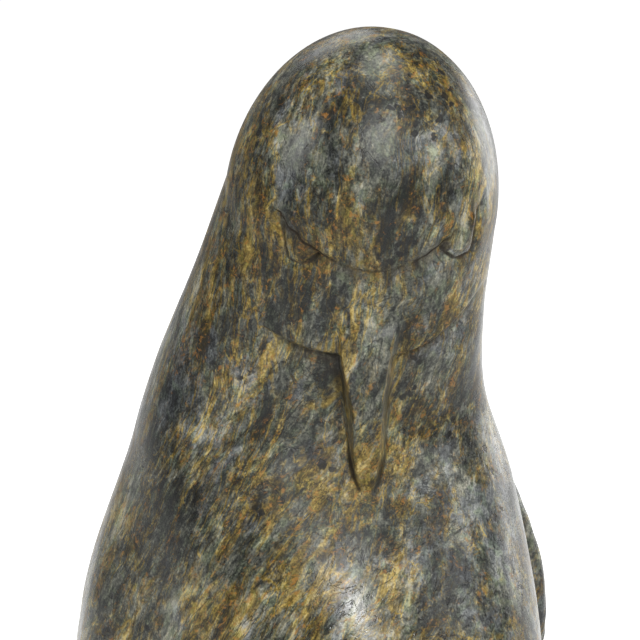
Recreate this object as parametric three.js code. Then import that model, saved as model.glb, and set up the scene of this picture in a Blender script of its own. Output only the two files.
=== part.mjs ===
// A soapstone bird, carved in one with its low base: the head is bowed and turned to the
// bird's right, the beak lies on the breast and the wings are folded over a short tail.
// Millimetres, +Z up. The breast faces -Y and the origin is the centre of the underside.
import * as THREE from "three";

// Overall size, and the height that the base takes of it. The crown of the bowed head
// stands a little above the height that the figure's shares are taken from.
const OVERALL_HEIGHT = 320;
const BASE_HEIGHT = 17;
const CROWN_TOP = 1.0061;
const FIGURE_HEIGHT = (OVERALL_HEIGHT - BASE_HEIGHT) / CROWN_TOP;

// The base: a hand-cut oval that narrows upwards, with low waves round its outline, whose
// sizes are shares of its height
const FOOT = { fillet: 7, rings: [0, 0.12, 0.4, 1] };
const BASE = {
  squareness: 2.5,
  ledge: 4.5,
  taper: 3,
  lowerBevel: 1.5,
  upperRound: 5,
  roundRings: 3,
  waves: [
    { count: 2, size: 0.07, phase: 0.6 },
    { count: 3, size: 0.094, phase: 2.1 },
    { count: 5, size: 0.053, phase: 4 },
  ],
};

// The mesh starts as rings round the stone and columns up it, closer together on the face.
// Its edges are then halved in passes, wherever the carving leaves an edge by more than the
// tolerance, a share of the figure's height. No carved edge is sharper than the mesh can
// follow.
const COLUMNS = 52;
const FACE_CROWDING = 0.5;
const RINGS = { body: 12, neck: 13, crown: 8 };
const NECK_STARTS = 0.56;
const REFINING = { passes: 3, tolerance: 0.00105, shortest: 0.0066, samples: [0.15, 0.3, 0.5, 0.7, 0.85] };
const EDGE_SOFTNESS = 0.0035;

// The figure's pose and proportions, as shares of its own height above the base. Each
// station is a section square to the spine: its centre, how far it nods forward, turns to
// the right and leans to the left, and its reach sideways, to the breast and to the back.
const STATIONS = [
  { x: 0, y: 0.005, z: 0, nod: 0, turn: 0, lean: 0, side: 0.178, breast: 0.2, back: 0.2 },
  { x: 0, y: 0.005, z: 0.14, nod: 0, turn: 0, lean: 0, side: 0.214, breast: 0.268, back: 0.245 },
  { x: 0.001, y: 0, z: 0.28, nod: 0, turn: 0, lean: 0, side: 0.223, breast: 0.298, back: 0.246 },
  { x: 0.002, y: -0.01, z: 0.41, nod: 2, turn: 0, lean: 0, side: 0.212, breast: 0.278, back: 0.222 },
  { x: -0.008, y: -0.038, z: 0.535, nod: 6, turn: -3, lean: 0, side: 0.197, breast: 0.203, back: 0.203 },
  { x: -0.023, y: -0.08, z: 0.635, nod: 11, turn: -8, lean: 0, side: 0.169, breast: 0.122, back: 0.19 },
  { x: -0.0165, y: -0.118, z: 0.735, nod: 17, turn: -14, lean: 4, side: 0.147, breast: 0.122, back: 0.166 },
  { x: -0.001, y: -0.14, z: 0.829, nod: 22, turn: -19, lean: 9, side: 0.135, breast: 0.141, back: 0.138 },
];
const CROWN = { height: 0.1855, pointedness: 1.09 };
const SECTION_SQUARENESS = 2.15;

// The face is laid out on a stencil plane that looks the head in the eyes. Its origin is the
// root of the beak, its axes run to the viewer's right and up, and its sizes are shares of
// the figure's height. Stone further behind the plane than its depth is left plain.
const STENCIL = { turn: -20, tilt: 10, x: -0.031, y: -0.255, z: 0.717, depth: 0.13, fade: 0.06 };
const BROW = {
  middle: 0.003,
  height: 0.065,
  droop: 6.6,
  left: -0.1,
  leftFade: 0.012,
  right: 0.094,
  rightFade: 0.03,
  lip: 0.002,
  lipReach: 0.03,
  inset: 0.0045,
  insetReach: 0.014,
};
const JAW = {
  height: -0.02,
  droopLeft: 8.5,
  droopRight: 18.1,
  bend: 2.5,
  end: 0.118,
  fade: 0.035,
  lip: 0.002,
  lipReach: 0.03,
  inset: 0.009,
  insetReach: 0.045,
};
const BEAK = {
  root: 0.03,
  tip: -0.152,
  edges: [
    { along: 0, left: -0.033, right: 0.034 },
    { along: 0.3, left: -0.0295, right: 0.02 },
    { along: 0.5, left: -0.024, right: 0.0155 },
    { along: 0.8, left: -0.0205, right: 0.0125 },
    { along: 1, left: -0.0085, right: 0.003 },
  ],
  frontAtRoot: 0.01,
  frontAtTip: -0.064,
  arch: 0.004,
  blend: 0.2,
  leftSlope: 0.0035,
  rightSlope: 0.007,
};
const EYES = [
  { across: -0.067, up: 0.089, radius: 0.0172, tail: { across: -0.0897, up: 0.122 } },
  { across: 0.083, up: 0.0925, radius: 0.0153, tail: { across: 0.105, up: 0.1345 } },
];
const EYE = { bulge: 0.006, groove: 0.005, grooveWidth: 0.004, lid: 0.006 };

// The folded wings: an outline of angles from the breast and heights, and how far the wing
// stands off the body. The body is set back a little in front of it. On the bird's right the
// front of the wing grows softly out of the breast instead, up to the angles where it is crisp.
const WING = {
  outline: [
    [104, 0.605],
    [91, 0.56],
    [83, 0.48],
    [80, 0.39],
    [83, 0.31],
    [95, 0.24],
    [118, 0.18],
    [145, 0.14],
    [165, 0.13],
    [171, 0.165],
    [167, 0.24],
    [158, 0.33],
    [149, 0.43],
    [139, 0.53],
    [122, 0.595],
  ],
  outlineSteps: 60,
  arcPerDegree: 0.004,
  rise: 0.032,
  risesFrom: 0.58,
  risesTo: 0.38,
  edge: 0.018,
  softEdge: 0.16,
  crispFrom: 115,
  crispTo: 135,
  inset: 0.005,
  insetReach: 0.03,
};
const TAIL = { top: 0.26, halfAngleTop: 13, halfAngleFoot: 21, rise: 0.034, edge: 5 };

const FULL_TURN = 2 * Math.PI;
const QUARTER_TURN = Math.PI / 2;
const share = (value) => value * FIGURE_HEIGHT;
const radians = THREE.MathUtils.degToRad;
const mix = THREE.MathUtils.lerp;
const ease = THREE.MathUtils.smoothstep;

// One smooth curve through the stations for each kind of value
const curveThrough = (...keys) =>
  new THREE.CatmullRomCurve3(
    STATIONS.map((station) => new THREE.Vector3(...keys.map((key) => station[key]))),
    false,
    "catmullrom",
    0.5,
  );
const spineCurve = curveThrough("x", "y", "z");
const reachCurve = curveThrough("side", "breast", "back");
const poseCurve = curveThrough("nod", "lean", "turn");

// A frame on the spine: its centre and its directions right, forward and along the spine
function frameAt(along) {
  const centre = spineCurve.getPoint(along).multiplyScalar(FIGURE_HEIGHT);
  centre.z += BASE_HEIGHT;
  const pose = poseCurve.getPoint(along);
  const turned = new THREE.Euler(radians(pose.x), radians(pose.y), radians(pose.z), "ZYX");
  const towards = (x, y, z) => new THREE.Vector3(x, y, z).applyEuler(turned);
  return { centre, right: towards(1, 0, 0), forward: towards(0, -1, 0), up: towards(0, 0, 1) };
}

// The radius of a rounded section at an angle from its forward direction
function sectionRadius(side, front, back, squareness, angle) {
  const depth = Math.cos(angle) > 0 ? front : back;
  const sum =
    Math.pow(Math.abs(Math.sin(angle)) / side, squareness) +
    Math.pow(Math.abs(Math.cos(angle)) / depth, squareness);
  return Math.pow(sum, -1 / squareness);
}

// The stencil's axes, and a point's place on it in shares of the figure's height
const stencilTurn = new THREE.Euler(radians(-STENCIL.tilt), 0, radians(STENCIL.turn), "ZYX");
const stencilRight = new THREE.Vector3(1, 0, 0).applyEuler(stencilTurn);
const stencilOut = new THREE.Vector3(0, -1, 0).applyEuler(stencilTurn);
const stencilUp = new THREE.Vector3(0, 0, 1).applyEuler(stencilTurn);
const stencilRoot = new THREE.Vector3(STENCIL.x, STENCIL.y, STENCIL.z)
  .multiplyScalar(FIGURE_HEIGHT)
  .add(new THREE.Vector3(0, 0, BASE_HEIGHT));
function onStencil(point) {
  const away = point.clone().sub(stencilRoot).divideScalar(FIGURE_HEIGHT);
  return { across: away.dot(stencilRight), up: away.dot(stencilUp), out: away.dot(stencilOut) };
}

// A soft step at a carved line: the stone above it stands proud, the stone below is set back
function carvedStep(distance, { lip, lipReach, inset, insetReach }) {
  const above = lip * Math.exp(-Math.max(distance, 0) / lipReach);
  const below = -inset * Math.exp(Math.min(distance, 0) / insetReach);
  return mix(below, above, ease(distance, -EDGE_SOFTNESS, EDGE_SOFTNESS));
}

const browLine = (across) => BROW.height + BROW.droop * (across - BROW.middle) ** 2;

function browRelief({ across, up }) {
  const within =
    ease(across, BROW.left, BROW.left + BROW.leftFade) *
    (1 - ease(across, BROW.right - BROW.rightFade, BROW.right));
  return carvedStep(up - browLine(across), BROW) * within;
}

// The jaw line stops at the beak, which runs on over it
function jawRelief(place) {
  const aside = Math.abs(place.across);
  const droop = place.across < 0 ? JAW.droopLeft : JAW.droopRight;
  const line = JAW.height + droop * aside ** JAW.bend;
  const within = 1 - ease(aside, JAW.end - JAW.fade, JAW.end);
  return carvedStep(place.up - line, JAW) * within * (1 - withinBeak(place));
}

// A place by an eye, a drop drawn out to its outer corner: along its axis and to its outer side
function onEyeAxis({ across, up }, eye) {
  const reach = Math.hypot(eye.tail.across - eye.across, eye.tail.up - eye.up);
  const axis = { across: (eye.tail.across - eye.across) / reach, up: (eye.tail.up - eye.up) / reach };
  const away = { across: across - eye.across, up: up - eye.up };
  const along = away.across * axis.across + away.up * axis.up;
  const outer = (away.across * axis.up - away.up * axis.across) * Math.sign(eye.across);
  return { along, outer, reach };
}

// The distance of a place from an eye's outline
function fromEyeOutline(place, eye) {
  const { along, outer, reach } = onEyeAxis(place, eye);
  const aside = Math.abs(outer);
  const narrowing = eye.radius / reach;
  const straight = Math.sqrt(1 - narrowing ** 2);
  const onFlank = along * straight - aside * narrowing;
  if (onFlank < 0) return Math.hypot(along, aside) - eye.radius;
  if (onFlank > reach * straight) return Math.hypot(along - reach, aside);
  return aside * straight + along * narrowing - eye.radius;
}

// An eye: a low bulge under the brow, with a groove on its outer and lower sides
function eyeRelief(place, eye) {
  const away = fromEyeOutline(place, eye);
  const { along, outer } = onEyeAxis(place, eye);
  const openSide = Math.max(ease(outer, -EYE.lid / 2, EYE.lid / 2), 1 - ease(along, -eye.radius, 0));
  const underBrow = 1 - ease(place.up - browLine(place.across), -EYE.lid, 0);
  const bulge = EYE.bulge * (1 - (1 - Math.min(-Math.min(away, 0) / eye.radius, 1)) ** 2);
  const groove = EYE.groove * Math.exp(-((away / EYE.grooveWidth) ** 2)) * openSide;
  return (bulge - groove) * underBrow;
}

// How far down the beak a place is, from its root to its tip, and whether it lies between
// the beak's edges
const alongBeak = ({ up }) => (BEAK.root - up) / (BEAK.root - BEAK.tip);
function withinBeak(place) {
  const along = alongBeak(place);
  if (along <= 0 || along >= 1) return 0;
  const next = BEAK.edges.findIndex((edge) => edge.along > along);
  const [from, to] = [BEAK.edges[next - 1], BEAK.edges[next]];
  const part = (along - from.along) / (to.along - from.along);
  const left = mix(from.left, to.left, part);
  const right = mix(from.right, to.right, part);
  return (
    ease(place.across, left - BEAK.leftSlope, left + BEAK.leftSlope) *
    (1 - ease(place.across, right - BEAK.rightSlope, right + BEAK.rightSlope))
  );
}

// The beak: a flat ridge whose front runs almost straight from the face down to the breast.
// This is how far it stands off the surface, towards the viewer.
function beakRise(place) {
  const along = alongBeak(place);
  const arch = BEAK.arch * (1 - (2 * along - 1) ** 2);
  const front = mix(BEAK.frontAtRoot, BEAK.frontAtTip, along) + arch;
  return Math.max(front - place.out, 0) * withinBeak(place) * ease(along, 0, BEAK.blend);
}

// The wing's outline as a closed chain of points in arc and height
const wingCurve = new THREE.CatmullRomCurve3(
  WING.outline.map(([angle, height]) => new THREE.Vector3(angle * WING.arcPerDegree, height, 0)),
  true,
  "catmullrom",
  0.5,
);
const wingChain = wingCurve.getPoints(WING.outlineSteps);

// How far a place lies inside the wing's outline, negative outside it
function insideWing(arc, height) {
  let nearest = Infinity;
  let inside = false;
  for (let i = 0; i < WING.outlineSteps; i += 1) {
    const [from, to] = [wingChain[i], wingChain[i + 1]];
    const edge = { arc: to.x - from.x, height: to.y - from.y };
    const away = { arc: arc - from.x, height: height - from.y };
    const part = (away.arc * edge.arc + away.height * edge.height) / (edge.arc ** 2 + edge.height ** 2);
    const held = Math.min(Math.max(part, 0), 1);
    nearest = Math.min(nearest, Math.hypot(away.arc - held * edge.arc, away.height - held * edge.height));
    const crosses = from.y > height !== to.y > height;
    if (crosses && away.arc < (away.height / edge.height) * edge.arc) inside = !inside;
  }
  return inside ? nearest : -nearest;
}

function wingRelief(degrees, height, onLeft) {
  const crisp = onLeft ? 1 : ease(degrees, WING.crispFrom, WING.crispTo);
  const edge = mix(WING.softEdge, WING.edge, crisp);
  const inside = insideWing(degrees * WING.arcPerDegree, height);
  const setBack = -WING.inset * Math.exp(Math.min(inside, 0) / WING.insetReach) * crisp;
  const belowShoulder = 1 - ease(height, WING.risesTo, WING.risesFrom);
  return mix(setBack, WING.rise, ease(inside, -edge / 2, edge / 2)) * belowShoulder;
}

// The tail: a wedge under the wing tips that widens and deepens down to the base
function tailRelief(degrees, height) {
  const down = 1 - ease(height, 0, TAIL.top);
  const halfAngle = mix(TAIL.halfAngleTop, TAIL.halfAngleFoot, down);
  const within = 1 - ease(180 - degrees, halfAngle - TAIL.edge, halfAngle + TAIL.edge);
  return TAIL.rise * down * within;
}

// A point of the plain form moved by the carving: outwards by the lines of the face, the
// wings, the tail and the flare of the foot, and then towards the viewer by the beak
function carved(plain, outwards, angle) {
  const place = onStencil(plain);
  const inFront = ease(place.out, -STENCIL.depth, STENCIL.fade - STENCIL.depth);
  const face = browRelief(place) + jawRelief(place) + eyeRelief(place, EYES[0]) + eyeRelief(place, EYES[1]);
  const height = (plain.z - BASE_HEIGHT) / FIGURE_HEIGHT;
  const degrees = Math.abs(angle) * THREE.MathUtils.RAD2DEG;
  const rear = Math.max(wingRelief(degrees, height, angle > 0), tailRelief(degrees, height));
  const fillet = FOOT.fillet * (1 - Math.sqrt(1 - Math.max(1 - share(height) / FOOT.fillet, 0) ** 2));
  const moved = plain.clone().addScaledVector(outwards, share(face * inFront + rear) + fillet);
  return moved.addScaledVector(stencilOut, share(beakRise(onStencil(moved)) * inFront));
}

// The angle of a column from the breast, with the columns crowded towards the face
function columnAngle(column) {
  const even = (column / COLUMNS) * FULL_TURN - Math.PI;
  return even - FACE_CROWDING * Math.sin(even);
}

// A vertex of the figure. Up to 1 it lies on a section of the spine, and from 1 to 2 on the
// crown above the temples.
function figureVertex(along, column) {
  const rise = Math.max(along - 1, 0) * QUARTER_TURN;
  const { centre, right, forward, up } = frameAt(Math.min(along, 1));
  const reach = reachCurve.getPoint(Math.min(along, 1));
  reach.multiplyScalar(Math.pow(Math.cos(rise), CROWN.pointedness));
  centre.addScaledVector(up, share(CROWN.height) * Math.sin(rise));
  const angle = columnAngle(column);
  const outwards = right.clone().multiplyScalar(Math.sin(angle)).addScaledVector(forward, Math.cos(angle));
  const radius = share(sectionRadius(reach.x, reach.y, reach.z, SECTION_SQUARENESS, angle));
  const plain = centre.clone().addScaledVector(outwards, radius);
  return { along, column, point: carved(plain, outwards, angle) };
}

// The base is as wide and deep as the foot with its fillet, a ledge, the round of its edge
// and its taper
const baseMargin = FOOT.fillet + BASE.ledge + BASE.upperRound + BASE.taper;
const baseHalfWidth = share(STATIONS[0].side) + baseMargin;
const baseHalfDepth = share(STATIONS[0].y + STATIONS[0].back + TAIL.rise) + baseMargin;

// A vertex of the base, inset from its outline
function baseVertex(inset, height, column) {
  const angle = columnAngle(column);
  const waves = BASE.waves.map(({ count, size, phase }) => size * BASE_HEIGHT * Math.cos(count * angle + phase));
  const oval = sectionRadius(baseHalfWidth, baseHalfDepth, baseHalfDepth, BASE.squareness, angle);
  const radius = waves.reduce((sum, wave) => sum + wave, oval) - inset;
  return { point: new THREE.Vector3(radius * Math.sin(angle), -radius * Math.cos(angle), height) };
}

// All rings from the underside to the crown
function allRings() {
  const ringOf = (vertexAt) => Array.from({ length: COLUMNS }, (_, column) => vertexAt(column));
  const baseRing = (inset, height) => ringOf((column) => baseVertex(inset, height, column));
  const figureRing = (along) => ringOf((column) => figureVertex(along, column));
  const rings = [baseRing(BASE.lowerBevel, 0), baseRing(0, BASE.lowerBevel)];
  for (let step = 0; step <= BASE.roundRings; step += 1) {
    const turned = (step / BASE.roundRings) * QUARTER_TURN;
    const inset = BASE.taper + BASE.upperRound * (1 - Math.cos(turned));
    rings.push(baseRing(inset, BASE_HEIGHT - BASE.upperRound * (1 - Math.sin(turned))));
  }
  const footEnds = FOOT.fillet / share(STATIONS[1].z) / (STATIONS.length - 1);
  FOOT.rings.forEach((part) => rings.push(figureRing(part * footEnds)));
  for (let step = 1; step <= RINGS.body; step += 1)
    rings.push(figureRing(mix(footEnds, NECK_STARTS, step / RINGS.body)));
  for (let step = 1; step <= RINGS.neck; step += 1)
    rings.push(figureRing(mix(NECK_STARTS, 1, step / RINGS.neck)));
  for (let step = 1; step < RINGS.crown; step += 1) rings.push(figureRing(1 + step / RINGS.crown));
  return rings;
}

// The rings joined into one closed surface, with a point under the base and one on the crown.
// Each cell is split along its shorter diagonal.
function joined(rings) {
  const { centre, up } = frameAt(1);
  const crown = centre.addScaledVector(up, share(CROWN.height));
  const vertices = [{ point: new THREE.Vector3(0, 0, 0) }, ...rings.flat(), { point: crown }];
  const indexOf = (ring, column) => 1 + ring * COLUMNS + (column % COLUMNS);
  const distance = (from, to) => vertices[from].point.distanceTo(vertices[to].point);
  const last = rings.length - 1;
  const faces = [];
  for (let column = 0; column < COLUMNS; column += 1) {
    faces.push([0, indexOf(0, column + 1), indexOf(0, column)]);
    for (let ring = 0; ring < last; ring += 1) {
      const [a, b] = [indexOf(ring, column), indexOf(ring, column + 1)];
      const [c, d] = [indexOf(ring + 1, column + 1), indexOf(ring + 1, column)];
      if (distance(a, c) < distance(b, d)) faces.push([a, b, c], [a, c, d]);
      else faces.push([a, b, d], [b, c, d]);
    }
    faces.push([indexOf(last, column), indexOf(last, column + 1), vertices.length - 1]);
  }
  return { vertices, faces };
}

// The vertex part of the way along an edge of the figure, on the carved surface
function vertexBetween(from, to, part) {
  const round = Math.round((from.column - to.column) / COLUMNS) * COLUMNS;
  return figureVertex(mix(from.along, to.along, part), mix(from.column, to.column + round, part));
}

// Whether the carved surface leaves an edge by more than the tolerance
function strays(from, to) {
  const onFigure = from.along !== undefined && to.along !== undefined;
  if (!onFigure || from.point.distanceTo(to.point) < share(REFINING.shortest)) return false;
  const edge = to.point.clone().sub(from.point).normalize();
  return REFINING.samples.some((part) => {
    const away = vertexBetween(from, to, part).point.sub(from.point);
    return away.cross(edge).length() > share(REFINING.tolerance);
  });
}

// One pass of refining: each straying edge gets a vertex in its middle, and each face is
// split into as many faces as its new vertices make of it
function refinedOnce({ vertices, faces }) {
  const middles = new Map();
  const middleOf = (a, b) => {
    const key = a < b ? `${a} ${b}` : `${b} ${a}`;
    if (!middles.has(key)) {
      const halved = strays(vertices[a], vertices[b]);
      middles.set(key, halved ? vertices.push(vertexBetween(vertices[a], vertices[b], 0.5)) - 1 : null);
    }
    return middles.get(key);
  };
  const split = faces.flatMap(([a, b, c]) => {
    const around = [a, middleOf(a, b), b, middleOf(b, c), c, middleOf(c, a)];
    const added = [around[1], around[3], around[5]].filter((index) => index !== null).length;
    if (added === 3) {
      const [, ab, , bc, , ca] = around;
      return [[a, ab, ca], [ab, b, bc], [ca, bc, c], [ab, bc, ca]];
    }
    if (added === 0) return [[a, b, c]];
    const start = around.findIndex((index, i) => i % 2 === 1 && index !== null);
    const ordered = [...around.slice(start), ...around.slice(0, start)].filter((index) => index !== null);
    return ordered.slice(2).map((index, i) => [ordered[0], ordered[i + 1], index]);
  });
  return { vertices, faces: split };
}

// The whole stone as one closed geometry
function carvedStone() {
  let surface = joined(allRings());
  for (let pass = 0; pass < REFINING.passes; pass += 1) surface = refinedOnce(surface);
  const geometry = new THREE.BufferGeometry().setFromPoints(surface.vertices.map(({ point }) => point));
  geometry.setIndex(surface.faces.flat());
  geometry.computeVertexNormals();
  return geometry;
}

const stone = new THREE.MeshStandardMaterial({ color: 0x6a6552, roughness: 0.32, metalness: 0 });
const bird = new THREE.Mesh(carvedStone(), stone);
bird.name = "bird_carving";

const group = new THREE.Group();
group.add(bird);
export default group;
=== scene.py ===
"""A soapstone bird carved in one with its low base, on a pale floor in soft studio light.

The stone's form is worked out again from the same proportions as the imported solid, on a finer
mesh. Everything is in metres: +Z is up, the breast faces -Y and the origin is the centre of the
underside.
"""

import logging
import math
from dataclasses import dataclass
from enum import Enum
from typing import Any, Mapping, Sequence

import bpy
import numpy as np
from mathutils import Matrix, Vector


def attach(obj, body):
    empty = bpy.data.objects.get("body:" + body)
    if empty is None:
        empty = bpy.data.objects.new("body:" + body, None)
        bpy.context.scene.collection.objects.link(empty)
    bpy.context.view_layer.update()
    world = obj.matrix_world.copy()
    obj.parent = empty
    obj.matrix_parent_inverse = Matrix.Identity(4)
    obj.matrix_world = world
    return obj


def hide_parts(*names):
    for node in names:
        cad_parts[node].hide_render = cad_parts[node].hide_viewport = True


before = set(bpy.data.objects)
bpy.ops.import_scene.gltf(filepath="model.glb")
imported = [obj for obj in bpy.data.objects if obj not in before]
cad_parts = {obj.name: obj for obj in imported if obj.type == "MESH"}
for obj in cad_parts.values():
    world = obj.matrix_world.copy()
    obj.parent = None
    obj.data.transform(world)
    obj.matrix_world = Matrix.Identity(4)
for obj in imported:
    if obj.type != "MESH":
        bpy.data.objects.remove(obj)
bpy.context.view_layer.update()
NODE = "bird_carving"

Array = np.ndarray
Colour = tuple[float, float, float]

FULL_TURN = 2 * math.pi
QUARTER_TURN = math.pi / 2
MM_PER_METRE = 1000

# The least squared length in metres that a stripe's part is divided by
SHORTEST = 1e-12

# Overall size. The figure's shares are of its own height above the base, without the little
# that the crown of the bowed head stands above it.
OVERALL_HEIGHT = 0.320
BASE_HEIGHT = 0.017
CROWN_TOP = 1.0061
FIGURE_HEIGHT = (OVERALL_HEIGHT - BASE_HEIGHT) / CROWN_TOP

log = logging.getLogger("bird")


# Shapes of numbers

def ease(value: Array, low: float, high: float) -> Array:
    """A smooth step from 0 at low to 1 at high."""
    part = np.clip((value - low) / (high - low), 0, 1)
    return part * part * (3 - 2 * part)


def mix(first: Any, second: Any, part: Any) -> Any:
    """The value part of the way from first to second."""
    return first + (second - first) * part


def bell(distance: Array, width: float) -> Array:
    """A bump of height 1 that fades over the width."""
    return np.exp(-((distance / width) ** 2))


def through(points: Array, along: Array) -> Array:
    """Points of a smooth open curve.

    Args:
        points: the points it runs through, one a row
        along: places on it, from 0 to 1

    Returns:
        one row for each place
    """
    ends = np.vstack([2 * points[:1] - points[1:2], points, 2 * points[-1:] - points[-2:-1]])
    place = np.clip(along, 0, 1) * (len(points) - 1)
    start = np.minimum(np.floor(place).astype(int), len(points) - 2)
    return hermite([ends[start + k] for k in range(4)], (place - start)[:, None])


def round_through(points: Array, steps: int) -> Array:
    """Points at even steps round a smooth closed curve through the given ones."""
    place = np.arange(steps + 1) / steps * len(points)
    start = np.floor(place).astype(int)
    around = [points[(start + k) % len(points)] for k in (-1, 0, 1, 2)]
    return hermite(around, (place - start)[:, None])


def hermite(around: Sequence[Array], part: Array) -> Array:
    """The curve between the middle two of four points, with slopes from their neighbours."""
    before, first, second, after = around
    rise, fall = (second - before) / 2, (after - first) / 2
    cubic = 2 * first - 2 * second + rise + fall
    square = 3 * second - 3 * first - 2 * rise - fall
    return ((cubic * part + square) * part + rise) * part + first


def turned(nod: Array, lean: Array, turn: Array) -> Array:
    """Rotation matrices for a nod about X, then a lean about Y, then a turn about Z.

    Args:
        nod: degrees, one for each matrix
        lean: degrees
        turn: degrees

    Returns:
        one 3 by 3 matrix for each angle
    """
    (sx, cx), (sy, cy), (sz, cz) = [(np.sin(a), np.cos(a)) for a in np.radians([nod, lean, turn])]
    rows = [
        [cz * cy, cz * sy * sx - sz * cx, cz * sy * cx + sz * sx],
        [sz * cy, sz * sy * sx + cz * cx, sz * sy * cx - cz * sx],
        [-sy, cy * sx, cy * cx],
    ]
    return np.moveaxis(np.array(rows), (0, 1), (-2, -1))


def section(side: Array, front: Array, back: Array, squareness: float, angle: Array) -> Array:
    """The radius of a rounded section at an angle from its forward direction."""
    depth = np.where(np.cos(angle) > 0, front, back)
    across = (np.abs(np.sin(angle)) / side) ** squareness
    deep = (np.abs(np.cos(angle)) / depth) ** squareness
    return (across + deep) ** (-1 / squareness)


# The carving, feature by feature

@dataclass(frozen=True)
class Place:
    """Places on the stencil plane, in shares of the figure's height."""

    across: Array
    up: Array
    out: Array


@dataclass(frozen=True)
class Stencil:
    """The plane that looks the head in the eyes, with its origin at the root of the beak."""

    turn: float = -20
    tilt: float = 10
    root: tuple[float, float, float] = (-0.031, -0.255, 0.717)
    depth: float = 0.13
    fade: float = 0.06

    def axes(self) -> Array:
        """The directions right, outwards and up, one a row."""
        matrix = turned(np.array(-self.tilt), np.array(0.0), np.array(self.turn))
        return np.array([matrix @ (1, 0, 0), matrix @ (0, -1, 0), matrix @ (0, 0, 1)])

    def place(self, points: Array) -> Place:
        """Where points in metres fall on the stencil."""
        root = np.array(self.root) * FIGURE_HEIGHT + (0, 0, BASE_HEIGHT)
        across, out, up = np.moveaxis((points - root) / FIGURE_HEIGHT @ self.axes().T, -1, 0)
        return Place(across, up, out)

    def in_front(self, place: Place) -> Array:
        """1 on the face and 0 on the back of the head."""
        return ease(place.out, -self.depth, self.fade - self.depth)


@dataclass(frozen=True)
class Step:
    """A carved line with proud stone above it and stone set back below."""

    lip: float
    lip_reach: float
    inset: float
    inset_reach: float
    softness: float

    def relief(self, above: Array) -> Array:
        """How far the surface moves out, by its distance above the line."""
        proud = self.lip * np.exp(-np.maximum(above, 0) / self.lip_reach)
        sunk = -self.inset * np.exp(np.minimum(above, 0) / self.inset_reach)
        return mix(sunk, proud, ease(above, -self.softness, self.softness))


@dataclass(frozen=True)
class Brow:
    """The line that hangs from eye to eye over the root of the beak."""

    middle: float = 0.003
    height: float = 0.065
    droop: float = 6.6
    left: float = -0.1
    left_fade: float = 0.012
    right: float = 0.094
    right_fade: float = 0.03
    # The width of the painted shade under the line
    painted_shade: float = 0.008
    lids_from: float = 0.03
    lids_to: float = 0.055
    middle_cut: float = 0.3
    step: Step = Step(lip=0.002, lip_reach=0.03, inset=0.0045, inset_reach=0.014, softness=0.005)

    def above(self, place: Place) -> Array:
        """The distance above the line."""
        return place.up - (self.height + self.droop * (place.across - self.middle) ** 2)

    def within(self, place: Place) -> Array:
        """1 along the line, fading at its ends."""
        left = ease(place.across, self.left, self.left + self.left_fade)
        return left * (1 - ease(place.across, self.right - self.right_fade, self.right))

    def cut(self, place: Place) -> Array:
        """1 where the line is cut as a lid's edge, and little of it between the eyes."""
        lid = ease(np.abs(place.across - self.middle), self.lids_from, self.lids_to)
        return mix(self.middle_cut, 1, lid) * self.within(place)

    def relief(self, place: Place) -> Array:
        """How far the brow moves the surface out."""
        return self.step.relief(self.above(place)) * self.within(place)

    def painted_shade_mask(self, place: Place) -> Array:
        """The painted shade that falls under the line."""
        return bell(self.above(place) + self.painted_shade / 2, self.painted_shade) * self.within(place)


@dataclass(frozen=True)
class Jaw:
    """The line under the cheeks, where the bowed head meets the throat."""

    height: float = -0.02
    droop_left: float = 8.5
    droop_right: float = 18.1
    bend: float = 2.5
    end: float = 0.118
    fade: float = 0.035
    # The width of the painted shade under the line
    painted_shade: float = 0.008
    step: Step = Step(lip=0.002, lip_reach=0.03, inset=0.009, inset_reach=0.045, softness=0.0045)

    def above(self, place: Place) -> Array:
        """The distance above the line."""
        droop = np.where(place.across < 0, self.droop_left, self.droop_right)
        return place.up - (self.height + droop * np.abs(place.across) ** self.bend)

    def within(self, place: Place) -> Array:
        """1 along the line, fading at its ends."""
        return 1 - ease(np.abs(place.across), self.end - self.fade, self.end)

    def relief(self, place: Place, beside_beak: Array) -> Array:
        """How far the jaw moves the surface out, on both sides of the beak."""
        return self.step.relief(self.above(place)) * self.within(place) * beside_beak

    def painted_shade_mask(self, place: Place, beside_beak: Array) -> Array:
        """The painted shade that falls under the line."""
        return bell(self.above(place) + self.painted_shade / 2, self.painted_shade) * self.within(place) * beside_beak


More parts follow.
